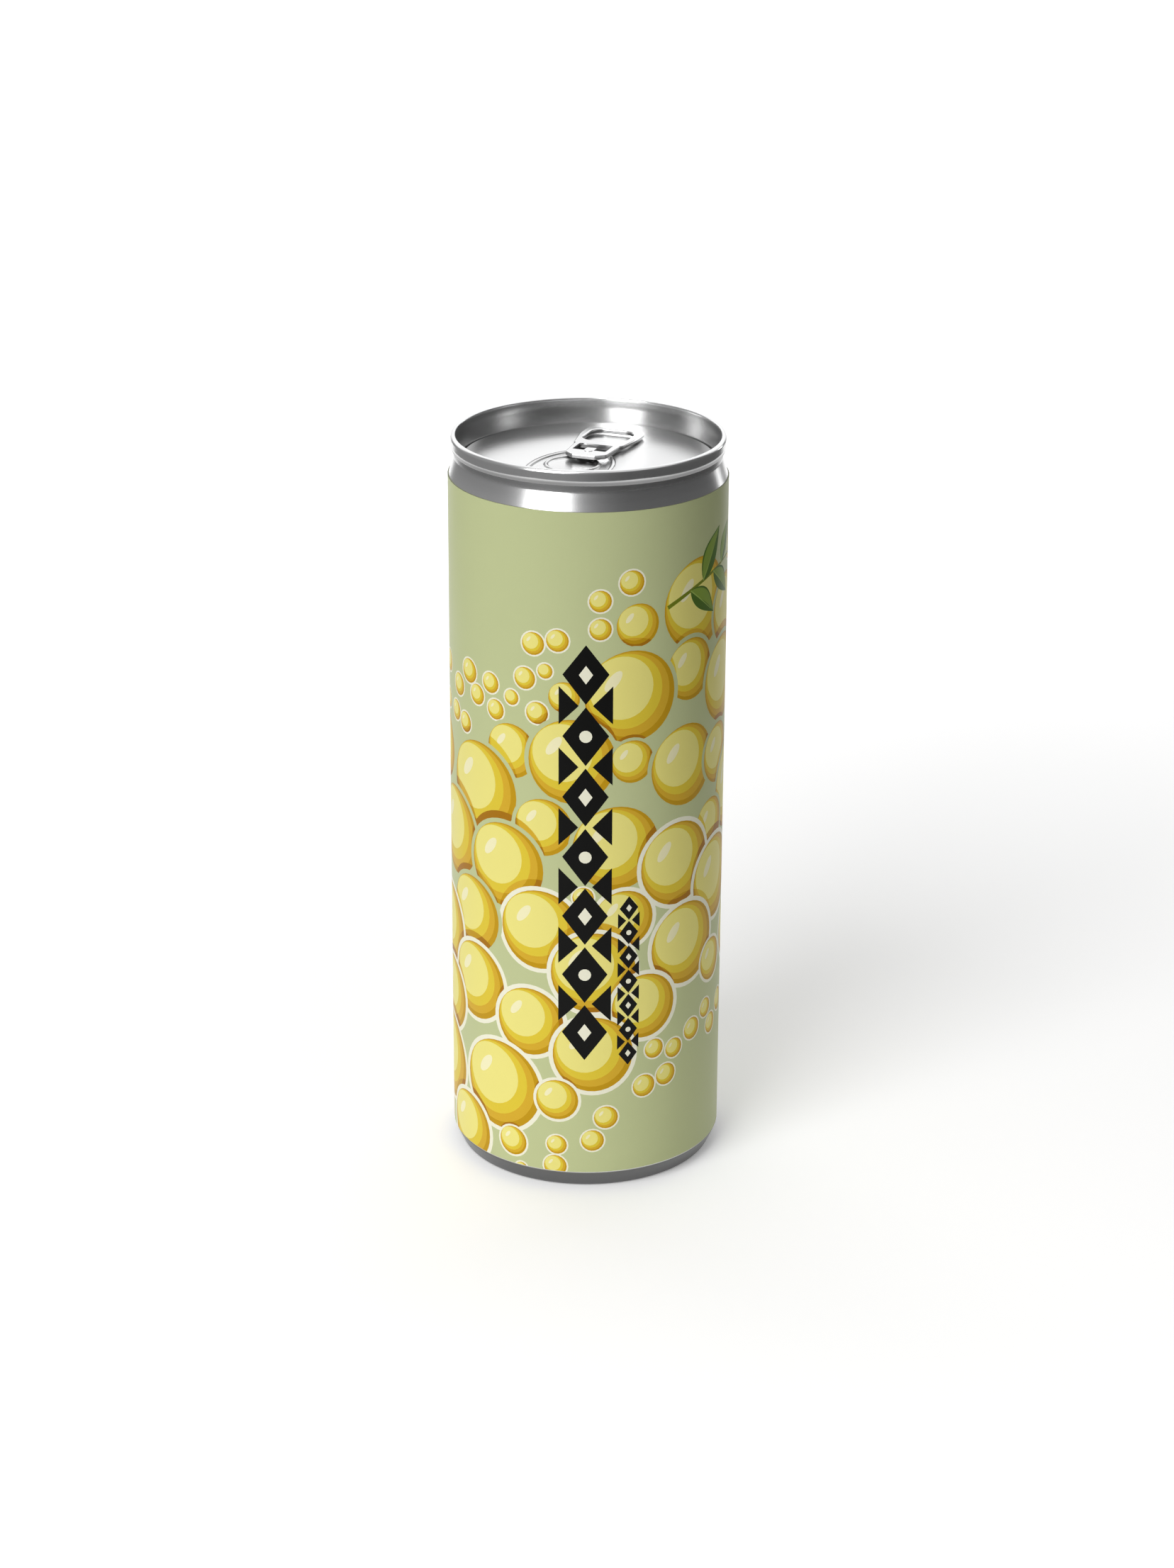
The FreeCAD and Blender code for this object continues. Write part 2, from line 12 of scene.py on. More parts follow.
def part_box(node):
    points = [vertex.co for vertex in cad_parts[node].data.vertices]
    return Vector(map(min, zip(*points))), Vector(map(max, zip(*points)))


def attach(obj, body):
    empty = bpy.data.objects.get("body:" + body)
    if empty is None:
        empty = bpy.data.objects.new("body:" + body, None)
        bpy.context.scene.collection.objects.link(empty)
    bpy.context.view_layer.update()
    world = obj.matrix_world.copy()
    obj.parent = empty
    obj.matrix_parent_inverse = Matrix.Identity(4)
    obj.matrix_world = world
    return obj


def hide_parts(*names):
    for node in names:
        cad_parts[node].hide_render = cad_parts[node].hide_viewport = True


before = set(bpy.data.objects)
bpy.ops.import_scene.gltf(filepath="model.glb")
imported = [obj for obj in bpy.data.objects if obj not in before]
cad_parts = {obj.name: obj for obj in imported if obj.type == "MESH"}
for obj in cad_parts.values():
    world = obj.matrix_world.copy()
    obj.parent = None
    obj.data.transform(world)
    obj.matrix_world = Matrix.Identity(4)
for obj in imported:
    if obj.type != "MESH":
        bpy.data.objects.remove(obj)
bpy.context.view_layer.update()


# ---------------------------------------------------------------- places and sizes
# Millimetres from the can's axis and from the floor.

MM = 0.001
HAIR = 0.02

label_low, label_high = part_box("label")
LABEL_FOOT, LABEL_TOP = label_low[2] / MM, label_high[2] / MM
LABEL_RADIUS = min(-label_low[0], label_high[0]) / MM
LAP_RADIUS = label_high[1] / MM
LABEL_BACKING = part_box("can_body")[1][0] / MM

end_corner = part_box("can_end")[1]
SEAM, CREST = end_corner[0] / MM, end_corner[2] / MM
TAB_UNDER, TAB_TOP = (corner[2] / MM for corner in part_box("pull_tab"))
TAB_WAY = math.radians(70)

# the drawn can: its wall and neck, the stand ring's two edges, and the dome inside the ring
NECK = SEAM - 0.8
WALL = NECK + 1.15
NECK_HEIGHT, NECK_END = 3.6, 3.0
FOOT_TAPER_TOP, FOOT_TAPER_ROUND = 0.5, 2.0
RING_OUTER, RING_OUTER_ROUND = WALL - 1.6, 1.0
RING_INNER, RING_INNER_ROUND = WALL - 3.6, 0.6
DOME_EDGE, DOME_RISE, DOME_TOP = WALL - 4.3, 6.9, 9.5
BASE_METAL_EDGE = RING_INNER + 0.3
BEND_ROUND = 1.0

# the seam and the end's wall: in from the seam's outside, and down from the crest
SEAM_END, SEAM_END_IN = 3.2, SEAM - NECK + 0.05
SEAM_FOOT, SEAM_FOOT_IN, SEAM_FOOT_ROUND = 3.3, 0.38, 0.2
SEAM_BELLY, SEAM_BELLY_ROUND = 2.1, 1.6
LIP_WIDTH, LIP_ROUND, LIP_INNER_ROUND = 1.12, 0.74, 0.37
ROLLED_WIDTH = 0.75
CHUCK_WALL_TOP, CHUCK_WALL_ROUND = 1.6, 8

# the countersink and the flat panel
PANEL = CREST - 5.1
PANEL_EDGE, PANEL_ROUND = SEAM - 2.26, 0.25
GROOVE_OUTER, GROOVE_FLOOR, GROOVE_ROUND = SEAM - 1.97, PANEL - 0.8, 0.12
PANEL_METAL_FOOT = GROOVE_FLOOR + 0.3
PANEL_MARGIN = 1.5

# the pressed lines of the panel, along and across the tab's line from the rivet
TEAR_REAR, TEAR_FRONT = 4.7, PANEL_EDGE - 4.2
TEAR_MIDDLE = ((TEAR_REAR - TEAR_FRONT) / 2, 1.0)
TEAR_HALF = ((TEAR_REAR + TEAR_FRONT) / 2, 8.6)
SCORE_WIDTH, SCORE_DEPTH = 0.36, 0.16
STEP_START, STEP_WIDTH, STEP_DEPTH = 0.55, 0.55, 0.36
BEAD_MIDDLE, BEAD_RADIUS, BEAD_WIDTH, BEAD_RISE = (-5.4, 1.5), 5.35, 1.2, 0.36
BOSS_RADIUS, BOSS_SLOPE = 1.6, 1.1
RIVET_NECK, RIVET_HEAD, RIVET_RISE, RIVET_ROUND = 0.7, 0.9, 0.1, 0.08

# the label laid flat: along it to the right of the middle of its front, and up from the floor
LABEL_REACH = math.pi * LABEL_RADIUS
LAP_HALF_ANGLE = math.radians(5.5)


# ---------------------------------------------------------------- colours

def paint(red, green, blue):
    """A colour given as 0-255 screen values, as the linear colour a socket wants."""
    def linear(value):
        value /= 255
        return value / 12.92 if value <= 0.04045 else ((value + 0.055) / 1.055) ** 2.4

    return (linear(red), linear(green), linear(blue), 1.0)


INKS = {
    "sage": (191, 198, 149),
    "light_yellow": (236, 226, 132),
    "mid_yellow": (222, 197, 58),
    "gold": (212, 170, 46),
    "dark_gold": (192, 148, 20),
    "brown_gold": (166, 112, 14),
    "cream": (238, 236, 214),
    "pale_shine": (242, 236, 192),
    "leaf_dark": (78, 110, 36),
    "leaf_light": (132, 158, 64),
    "leaf_bright": (158, 182, 88),
    "stem_olive": (118, 130, 30),
    # painted shade: the film's cut edges are inked darker than the sage
    "shaded_film_edge": (112, 116, 82),
    "black": (15, 15, 14),
}
INK_SLOT = {name: slot for slot, name in enumerate(INKS)}

# what a bubble's inks turn into where another bubble shades them
SHADED = {
    "pale_shine": "mid_yellow",
    "light_yellow": "mid_yellow",
    "mid_yellow": "gold",
    "gold": "dark_gold",
    "dark_gold": "brown_gold",
}


# ---------------------------------------------------------------- shader parts

def new_group(name, inputs, outputs):
    """A shader node group with named sockets: (name, socket type, default) for each input."""
    group = bpy.data.node_groups.new(name, "ShaderNodeTree")
    for label, kind, default in inputs:
        made = group.interface.new_socket(name=label, in_out="INPUT", socket_type=kind)
        made.default_value = default
    for label, kind in outputs:
        group.interface.new_socket(name=label, in_out="OUTPUT", socket_type=kind)
    entry = group.nodes.new("NodeGroupInput")
    leave = group.nodes.new("NodeGroupOutput")
    return group, entry, leave


class Bench:
    """Adds nodes to one tree and joins them."""

    def __init__(self, tree):
        self.tree = tree

    def add(self, kind, **settings):
        node = self.tree.nodes.new(kind)
        for key, value in settings.items():
            setattr(node, key, value)
        return node

    def join(self, outlet, inlet):
        self.tree.links.new(outlet, inlet)

    def math(self, operation, first, second=None, third=None, clamp=False):
        node = self.add("ShaderNodeMath", operation=operation, use_clamp=clamp)
        for index, value in enumerate((first, second, third)):
            if value is None:
                continue
            if isinstance(value, (int, float)):
                node.inputs[index].default_value = value
            else:
                self.join(value, node.inputs[index])
        return node.outputs[0]

    def span(self, value, low, high, to_low=0.0, to_high=1.0, smooth=False):
        node = self.add("ShaderNodeMapRange", interpolation_type="SMOOTHSTEP" if smooth else "LINEAR")
        self.join(value, node.inputs["Value"])
        limits = (("From Min", low), ("From Max", high), ("To Min", to_low), ("To Max", to_high))
        for name, number in limits:
            node.inputs[name].default_value = number
        return node.outputs["Result"]

    def noise(self, vector, scale, detail=2.0, roughness=0.5):
        node = self.add("ShaderNodeTexNoise")
        node.inputs["Scale"].default_value = scale
        node.inputs["Detail"].default_value = detail
        node.inputs["Roughness"].default_value = roughness
        self.join(vector, node.inputs["Vector"])
        return node.outputs["Fac"]

    def stretched(self, scale):
        """Object coordinates stretched by a scale for each axis."""
        place = self.add("ShaderNodeTexCoord")
        spread = self.add("ShaderNodeMapping")
        spread.inputs["Scale"].default_value = scale
        self.join(place.outputs["Object"], spread.inputs["Vector"])
        return spread.outputs["Vector"]

    def place(self):
        """The object's own x, y and z, in metres."""
        parts = self.add("ShaderNodeSeparateXYZ")
        self.join(self.stretched((1, 1, 1)), parts.inputs[0])
        return parts.outputs

    def height_span(self, low, high, to_low=0.0, to_high=1.0, smooth=False):
        """A mask that changes between two heights, given in millimetres."""
        return self.span(self.place()["Z"], low * MM, high * MM, to_low, to_high, smooth)

    def length(self, x, y):
        return self.math("SQRT", self.math("ADD", self.math("MULTIPLY", x, x), self.math("MULTIPLY", y, y)))

    def bumped(self, height, strength, distance, shader):
        bump = self.add("ShaderNodeBump")
        bump.inputs["Strength"].default_value = strength
        bump.inputs["Distance"].default_value = distance
        self.join(height, bump.inputs["Height"])
        self.join(bump.outputs["Normal"], shader.inputs["Normal"])


def handling_marks():
    """Faint smears that change how a surface shines."""
    group, entry, leave = new_group(
        "handling marks",
        [("Amount", "NodeSocketFloat", 1.0)],
        [("Mask", "NodeSocketFloat")],
    )
    b = Bench(group)
    soft = b.noise(b.stretched((1, 1, 1)), 70, 3.0, 0.55)
    streak = b.noise(b.stretched((1, 1, 0.35)), 420, 2.0, 0.6)
    smear = b.span(soft, 0.46, 0.72, smooth=True)
    both = b.math("MULTIPLY", smear, b.span(streak, 0.3, 0.7, 0.5, 1.0))
    b.join(b.math("MULTIPLY", both, entry.outputs["Amount"], clamp=True), leave.inputs["Mask"])
    return group


def forming_lines(name, main, other, share):
    """The fine lines that forming leaves in metal: a main noise, with its share, over another one.

    Each noise is given as its stretch along x, y and z, its scale, its detail and its roughness.
    """
    group, entry, leave = new_group(
        name,
        [("Polish", "NodeSocketFloat", 0.14), ("Streaks", "NodeSocketFloat", 0.05)],
        [("Roughness", "NodeSocketFloat"), ("Height", "NodeSocketFloat"), ("Tone", "NodeSocketFloat")],
    )
    b = Bench(group)
    first, second = (b.noise(b.stretched(stretch), *grain) for stretch, *grain in (main, other))
    lines = b.math("MULTIPLY_ADD", first, share, b.math("MULTIPLY", second, 1 - share))
    rough = b.math("MULTIPLY_ADD", lines, entry.outputs["Streaks"], entry.outputs["Polish"])
    b.join(rough, leave.inputs["Roughness"])
    b.join(lines, leave.inputs["Height"])
    b.join(b.span(lines, 0.3, 0.7), leave.inputs["Tone"])
    return group


def rolled_sheet():
    """The lines that rolling leaves in flat sheet, all one way."""
    return forming_lines("rolled sheet", ((6, 120, 20), 6, 2.0, 0.5), ((14, 900, 60), 12, 3.0, 0.6), 0.5)


def drawn_wall():
    """The level neck-roller marks and the upright drawing marks of a drawn and necked wall."""
    return forming_lines("drawn wall", ((8, 8, 2600), 1.0, 2.0, 0.6), ((900, 900, 12), 1.0, 2.0, 0.5), 0.65)


def printed_film():
    """Ink on film: a slight mottle in the ink, and the film's own soft ripple and shine."""
    group, entry, leave = new_group(
        "printed film",
        [("Ink", "NodeSocketColor", (0.5, 0.5, 0.5, 1)), ("Mottle", "NodeSocketFloat", 0.03),
         ("Shine", "NodeSocketFloat", 0.34)],
        [("Color", "NodeSocketColor"), ("Roughness", "NodeSocketFloat"), ("Height", "NodeSocketFloat")],
    )
    b = Bench(group)
    place = b.stretched((1, 1, 1))
    grain = b.noise(place, 2600, 2.0, 0.5)
    cloud = b.noise(place, 130, 3.0, 0.5)
    both = b.math("MULTIPLY_ADD", grain, 0.5, b.math("MULTIPLY", cloud, 0.5))
    lift = b.math("MULTIPLY_ADD", b.math("SUBTRACT", both, 0.5), entry.outputs["Mottle"], 1.0)
    toned = b.add("ShaderNodeVectorMath", operation="SCALE")
    b.join(entry.outputs["Ink"], toned.inputs[0])
    b.join(lift, toned.inputs["Scale"])
    b.join(toned.outputs[0], leave.inputs["Color"])
    b.join(b.math("MULTIPLY_ADD", cloud, 0.08, entry.outputs["Shine"]), leave.inputs["Roughness"])
    b.join(b.math("MULTIPLY_ADD", grain, 0.35, cloud), leave.inputs["Height"])
    return group


HANDLING = handling_marks()
ROLLED = rolled_sheet()
DRAWN = drawn_wall()
FILM = printed_film()


def use_group(bench, group, **values):
    node = bench.add("ShaderNodeGroup")
    node.node_tree = group
    for name, value in values.items():
        node.inputs[name].default_value = value
    return node


def new_material(name):
    material = bpy.data.materials.new(name)
    material.use_nodes = True
    bench = Bench(material.node_tree)
    shader = material.node_tree.nodes["Principled BSDF"]
    return material, bench, shader


def aluminium(name, grain, tone, polish, streaks, relief, smears, zone=None, painted_shade_tone=1.0, zone_polish=0.0):
    """Bare can metal: fine lines from its forming, and faint handling marks.

    A zone is a mask of the surface that is darkened with painted shade by its tone factor, and roughened by
    zone_polish.
    """
    material, b, shader = new_material(name)
    shader.inputs["Metallic"].default_value = 1.0
    lines = use_group(b, grain, Polish=polish, Streaks=streaks)
    marks = use_group(b, HANDLING, Amount=smears)
    shade = b.add("ShaderNodeMix", data_type="RGBA")
    shade.inputs["A"].default_value = (tone * 0.97, tone * 0.975, tone * 0.98, 1)
    shade.inputs["B"].default_value = (tone, tone, tone, 1)
    b.join(lines.outputs["Tone"], shade.inputs["Factor"])
    colour = shade.outputs["Result"]
    rough = b.math("MULTIPLY_ADD", marks.outputs["Mask"], 0.05, lines.outputs["Roughness"])
    # painted shade: where the zone's mask is set, the metal's colour is darkened
    if zone is not None:
        mask = zone(b)
        painted_shade = b.add("ShaderNodeMix", data_type="RGBA")
        b.join(mask, painted_shade.inputs["Factor"])
        b.join(colour, painted_shade.inputs["A"])
        painted_shade.inputs["B"].default_value = (tone * painted_shade_tone, tone * painted_shade_tone, tone * painted_shade_tone, 1)
        colour = painted_shade.outputs["Result"]
        rough = b.math("MULTIPLY_ADD", mask, zone_polish, rough)
    b.join(colour, shader.inputs["Base Color"])
    b.join(rough, shader.inputs["Roughness"])
    b.bumped(lines.outputs["Height"], relief, 0.02 * MM, shader)
    return material


def ink_material(name):
    material, b, shader = new_material("label " + name.replace("_", " "))
    film = use_group(b, FILM, Ink=paint(*INKS[name]), Mottle=0.05, Shine=0.33)
    b.join(film.outputs["Color"], shader.inputs["Base Color"])
    b.join(film.outputs["Roughness"], shader.inputs["Roughness"])
    shader.inputs["Specular IOR Level"].default_value = 0.11
    b.bumped(film.outputs["Height"], 0.06, 0.04 * MM, shader)
    return material


# ---------------------------------------------------------------- where shade is painted on the metal

def body_painted_shade(b):
    """Painted shade on the tapered foot, and on the neck, darker towards the seam over it."""
    foot = b.height_span(LABEL_FOOT, LABEL_FOOT - 0.4, smooth=True)
    neck = b.height_span(LABEL_TOP, LABEL_TOP + 4.2, 0.0, 0.3)
    # painted shade in the groove under the seam
    groove = b.height_span(LABEL_TOP + 3.2, LABEL_TOP + 4.4, 0.0, 0.3, smooth=True)
    return b.math("MAXIMUM", foot, b.math("ADD", neck, groove))


def lip_painted_shade(b):
    """Painted shade on the rolled outer face of the seam, below its crest."""
    face = b.height_span(CREST - 0.3, CREST - 0.9, 0.0, 0.3, smooth=True)
    below = b.height_span(CREST - 1.9, CREST - 2.7, 0.0, 0.6, smooth=True)
    return b.math("ADD", face, below)


def wall_painted_shade(b):
    """Painted shade on the inner wall, below the crest."""
    return b.height_span(CREST - 0.2, CREST - 0.8, smooth=True)


def rim_painted_shade(b):
    """Painted shade on the outer part of the panel, darker towards the chuck wall."""
    x, y, _ = b.place()
    return b.span(b.length(x, y), (SEAM - 9) * MM, (SEAM - 2) * MM, smooth=True)


def tab_painted_shade(b):
    """Painted shade on the sides and curled underside of the tab, darker than its top."""
    return b.height_span(TAB_TOP - 0.22, TAB_TOP - 0.4, smooth=True)


# ---------------------------------------------------------------- making meshes

def circle(middle, radius, count):
    turns = (2 * math.pi * k / count for k in range(count))
    return [(middle[0] + radius * math.cos(a), middle[1] + radius * math.sin(a)) for a in turns]


def add_loop(points, edges, outline):
    """Add a closed outline to the points and edges that a triangulation has to follow."""
    start = len(points)
    points.extend(Vector(p) for p in outline)
    edges.extend((start + i, start + (i + 1) % len(outline)) for i in range(len(outline)))


def triangulated(points, edges):
    """The points and triangles of a flat sheet that has all the given edges."""
    made = delaunay_2d_cdt(points, edges, [], 0, 1e-5)
    return made[0], made[2]


def rounded_profile(corners):
    """Points and normals along straight runs with rounded corners, walked with the metal on the left.

    A corner is its radius from the axis, its height and its bend.
    """
    marks = []
    for i, (r, z, bend) in enumerate(corners):
        here = Vector((r, z))
        if bend == 0 or i in (0, len(corners) - 1):
            ways = []
            if i > 0:
                ways.append((here - Vector(corners[i - 1][:2])).normalized())
            if i < len(corners) - 1:
                ways.append((Vector(corners[i + 1][:2]) - here).normalized())
            marks.extend((here, Vector((w.y, -w.x))) for w in ways)
            continue
        into = (here - Vector(corners[i - 1][:2])).normalized()
        away = (Vector(corners[i + 1][:2]) - here).normalized()
        turn = math.atan2(into.x * away.y - into.y * away.x, into.dot(away))
        setback = bend * abs(math.tan(turn / 2))
        side = Vector((-into.y, into.x)) * math.copysign(bend, turn)
        centre = here - into * setback + side
        steps = max(4, int(abs(turn) / math.radians(11)))
        for k in range(steps + 1):
            spoke = -side
            spoke.rotate(Matrix.Rotation(turn * k / steps, 2))
            out = spoke.normalized() * math.copysign(1, turn)
            marks.append((centre + spoke, out))
    return marks


class Shell:
    """Collects faces with their own corner normals, in millimetres, then makes one mesh."""

    def __init__(self):
        self.points, self.faces, self.normals, self.slots = [], [], [], []

    def add(self, points, faces, normals, slots):
        """Add faces that number their own points, with a normal for each corner."""
        start = len(self.points)
        self.points.extend(points)
        self.faces.extend([start + i for i in face] for face in faces)
        self.normals.extend(normals)
        self.slots.extend(slots)

    def add_quad(self, four, ways, slot):
        self.add(four, [(0, 1, 2, 3)], [ways], [slot])

    def lathe(self, marks, slot_of, around=256):
        """Turn a profile round the can's axis; points on the axis are made once."""
        turns = circle((0, 0), 1, around)
        rings = []
        for place, _ in marks:
            if place.x < 1e-6:
                rings.append([len(self.points)] * around)
                self.points.append((0, 0, place.y))
            else:
                rings.append([len(self.points) + k for k in range(around)])
                self.points.extend((place.x * c, place.x * s, place.y) for c, s in turns)
        for i in range(len(marks) - 1):
            (low, below), (high, above) = marks[i], marks[i + 1]
            if (high - low).length < 1e-6:
                continue
            slot = slot_of((low + high) / 2)
            under, over = rings[i], rings[i + 1]
            for k in range(around):
                j = (k + 1) % around
                ring = [(under[k], below, k), (under[j], below, j), (over[j], above, j), (over[k], above, k)]
                if under[k] == under[j]:
                    del ring[1]
                elif over[k] == over[j]:
                    del ring[2]
                self.faces.append([index for index, _, _ in ring])
                self.normals.append([(way.x * turns[e][0], way.x * turns[e][1], way.y)
                                     for _, way, e in ring])
                self.slots.append(slot)

    def make(self, name, materials):
        """One mesh of all the faces, riding on the can's body."""
        mesh = bpy.data.meshes.new(name)
        mesh.from_pydata([tuple(c * MM for c in p) for p in self.points], [], self.faces)
        for material in materials:
            mesh.materials.append(material)
        mesh.polygons.foreach_set("material_index", self.slots)
        mesh.polygons.foreach_set("use_smooth", [True] * len(self.faces))
        mesh.normals_split_custom_set([corner for face in self.normals for corner in face])
        thing = bpy.data.objects.new(name, mesh)
        bpy.context.collection.objects.link(thing)
        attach(thing, "root")
        return thing


# ---------------------------------------------------------------- the pull tab and the drawn can

def finish_pull_tab():
    # painted shade on the tab's sides and underside
    metal = aluminium("pull tab metal", ROLLED, tone=0.98, polish=0.20, streaks=0.04, relief=0.03, smears=0.3,
                      zone=tab_painted_shade, painted_shade_tone=0.26, zone_polish=0.12)
    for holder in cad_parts["pull_tab"].material_slots:
        holder.material = metal


def dome_profile():
    """The domed bottom, a part of a ball, from the axis to the inner edge of the stand ring's wall."""
    ball = (DOME_EDGE * DOME_EDGE + DOME_RISE * DOME_RISE) / (2 * DOME_RISE)
    reach = math.asin(DOME_EDGE / ball)
    steps = 28
    marks = []
    for k in range(steps + 1):
        a = reach * k / steps
        place = Vector((ball * math.sin(a), DOME_TOP - ball + ball * math.cos(a)))
        marks.append((place, Vector((-math.sin(a), -math.cos(a)))))
    return marks


def build_body():
    """The drawn can: domed base, stand ring, tapered foot, straight wall and neck."""
    side = rounded_profile([
        (DOME_EDGE, DOME_TOP - DOME_RISE, 0),
        (RING_INNER, 0, RING_INNER_ROUND),
        (RING_OUTER, 0, RING_OUTER_ROUND),
        (WALL, LABEL_FOOT - FOOT_TAPER_TOP, FOOT_TAPER_ROUND),
        (WALL, LABEL_TOP, BEND_ROUND),
        (NECK, LABEL_TOP + NECK_HEIGHT, BEND_ROUND),
        (NECK, CREST - NECK_END, 0),
    ])
    wall, base = 0, 1
    shell = Shell()
    shell.lathe(dome_profile() + side, lambda place: base if place.x < BASE_METAL_EDGE else wall, 192)
    body = shell.make("drawn_can", [
        # painted shade on the foot and the neck
        aluminium("can wall metal", DRAWN, tone=0.92, polish=0.22, streaks=0.025, relief=0.02, smears=0.10,
                  zone=body_painted_shade, painted_shade_tone=0.18, zone_polish=0.08),
        aluminium("can base metal", DRAWN, tone=0.82, polish=0.27, streaks=0.06, relief=0.06, smears=0.4),
    ])
    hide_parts("can_body")


# ---------------------------------------------------------------- the stamped end

def tear_inside(u, v):
    """How far a point of the panel lies inside the tear outline."""
    x, y = u - TEAR_MIDDLE[0], v - TEAR_MIDDLE[1]
    a, c = TEAR_HALF
    f = math.sqrt((x / a) ** 2 + (y / c) ** 2) + 1e-9
    slope = math.hypot(x / a ** 2, y / c ** 2) / f
    return (1 - f) / (slope + 1e-9)


def off_bead(u, v):
    """How far a point of the panel lies outside the middle of the ring bead."""
    return math.hypot(u - BEAD_MIDDLE[0], v - BEAD_MIDDLE[1]) - BEAD_RADIUS


def ease(t):
    t = max(0.0, min(1.0, t))
    return t * t * (3 - 2 * t)


def panel_height(u, v):
    """Height of the stamped panel above its flat, at a point along and across the tab's line."""
    d = tear_inside(u, v)
    height = -STEP_DEPTH * ease((d - STEP_START) / STEP_WIDTH)
    if abs(d) < SCORE_WIDTH / 2:
        height -= SCORE_DEPTH * math.cos(math.pi * d / SCORE_WIDTH) ** 2
    away = off_bead(u, v)
    if abs(away) < BEAD_WIDTH / 2:
        height += BEAD_RISE * math.cos(math.pi * away / BEAD_WIDTH) ** 2
    return height + (TAB_UNDER - PANEL) * (1 - ease((math.hypot(u, v) - BOSS_RADIUS) / BOSS_SLOPE))


def panel_normal(u, v, reach=0.02):
    du = (panel_height(u + reach, v) - panel_height(u - reach, v)) / (2 * reach)
    dv = (panel_height(u, v + reach) - panel_height(u, v - reach)) / (2 * reach)
    return Vector((-du, -dv, 1)).normalized()


def on_painted_shade_line(u, v):
    """The score and the steep flanks of the step and the bead, where shade is painted into the metal."""
    d = tear_inside(u, v)
    step = (d - STEP_START) / STEP_WIDTH
    return abs(d) < SCORE_WIDTH * 0.33 or 0.2 < step < 0.8 or 0.2 < abs(off_bead(u, v)) / BEAD_WIDTH < 0.42


def tear_loop(offset, count=150):
    """The tear outline, drawn in by an offset."""
    loop = []
    for x, y in circle((0, 0), 1, count):
        x, y = TEAR_HALF[0] * x, TEAR_HALF[1] * y
        n = Vector((x / TEAR_HALF[0] ** 2, y / TEAR_HALF[1] ** 2)).normalized()
        loop.append((TEAR_MIDDLE[0] + x - n.x * offset, TEAR_MIDDLE[1] + y - n.y * offset))
    return loop


def add_panel(shell, edge, plain, shaded_line):
    """The flat panel with its pressed lines, triangulated so that its points follow them."""
    across = (0, 0.12, 0.25, 0.38, 0.5, 0.62, 0.75, 0.88, 1)
    across_step = [STEP_START + STEP_WIDTH * s for s in across]
    across_bead = [BEAD_RADIUS + BEAD_WIDTH * (s - 0.5) for s in across]
    across_score = [SCORE_WIDTH * s for s in (-0.5, -0.32, -0.16, 0, 0.16, 0.32, 0.5)]
    across_boss = (1.2, BOSS_RADIUS, 1.8, 2.05, 2.3, 2.5, BOSS_RADIUS + BOSS_SLOPE)

    loops = [circle((0, 0), radius, 256) for radius in (edge, edge - PANEL_MARGIN)]
    loops += [tear_loop(offset) for offset in across_score + across_step]
    loops += [circle(BEAD_MIDDLE, radius, 96) for radius in across_bead]
    loops += [circle((0, 0), radius, 40) for radius in across_boss]
    points, edges = [], []
    for loop in loops:
        add_loop(points, edges, loop)
    flat, faces = triangulated(points, edges)

    c, s = math.cos(TAB_WAY), math.sin(TAB_WAY)
    places, ways = [], []
    for u, v in flat:
        level = math.hypot(u, v) > edge - PANEL_MARGIN - HAIR
        places.append((u * c - v * s, u * s + v * c, PANEL + (0 if level else panel_height(u, v))))
        n = Vector((0, 0, 1)) if level else panel_normal(u, v)
        ways.append((n.x * c - n.y * s, n.x * s + n.y * c, n.z))
    faces = [face for face in faces if sum(math.hypot(*flat[i]) for i in face) / 3 <= edge]
    middles = [[sum(flat[i][axis] for i in face) / 3 for axis in (0, 1)] for face in faces]
    slots = [shaded_line if on_painted_shade_line(u, v) else plain for u, v in middles]
    shell.add(places, faces, [[ways[i] for i in face] for face in faces], slots)


